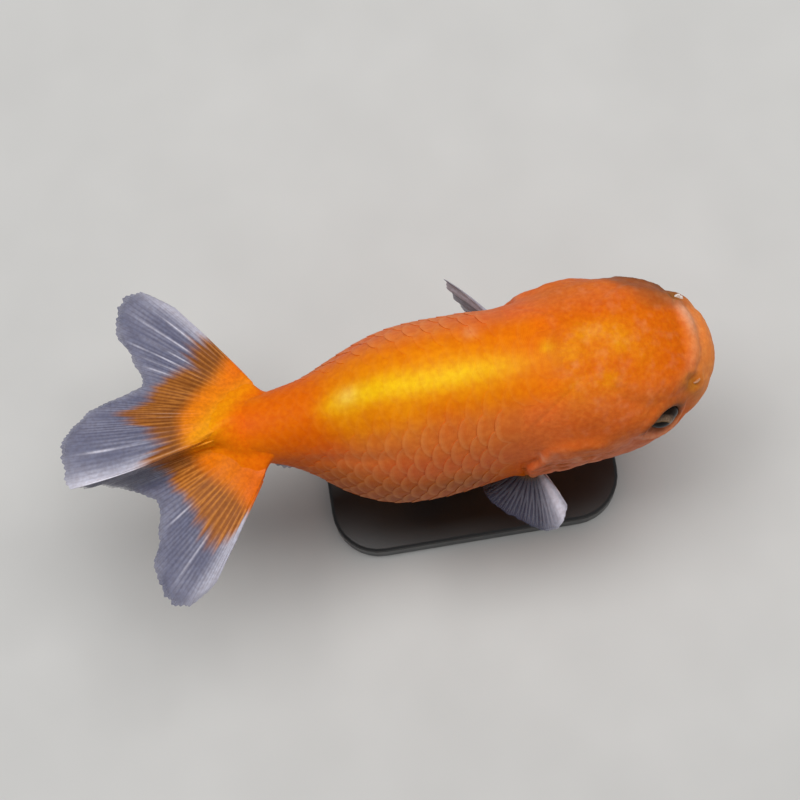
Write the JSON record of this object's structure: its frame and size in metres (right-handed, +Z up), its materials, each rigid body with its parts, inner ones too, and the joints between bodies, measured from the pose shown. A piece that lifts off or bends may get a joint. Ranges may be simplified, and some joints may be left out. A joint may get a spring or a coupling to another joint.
{
  "type": "ranchu goldfish model on stand",
  "caption": "Life-size ranchu goldfish with an egg-shaped body, hooded head and twin tail, swimming above a flat base on a short rod.",
  "frame": {"origin": "on the table, under the middle of the stand's base", "axes": "+X towards the fish's snout, +Y to its left, +Z up"},
  "size_m": [0.1508, 0.0758, 0.084],
  "materials": {
    "skin": "wet goldfish skin under small scales, orange with a golden back",
    "wen": "soft grainy head growth, orange",
    "eye": "dark pupil in a grey-brown iris, glossy",
    "fin": "thin rayed membrane, orange at the root and clear lavender-white beyond",
    "stand_lacquer": "satin black lacquer",
    "stand_steel": "plain stainless rod"
  },
  "bodies": {
    "root": {"head": "skin", "jaw_lower": "skin", "wen_crown": "wen", "gill_cover_left": "skin", "gill_cover_right": "skin", "eye_left": "eye", "eye_right": "eye", "nostril_flap_left": "fin", "nostril_flap_right": "fin", "trunk": "skin", "tail_stem": "skin", "pectoral_fin_left": "fin", "pectoral_fin_right": "fin", "pelvic_fin_left": "fin", "pelvic_fin_right": "fin", "anal_fin_left": "fin", "anal_fin_right": "fin", "tail_fin_left_upper": "fin", "tail_fin_left_side": "fin", "tail_fin_right_upper": "fin", "tail_fin_right_side": "fin", "stand_base": "stand_lacquer", "stand_rod": "stand_steel"}
  },
  "joints": []
}
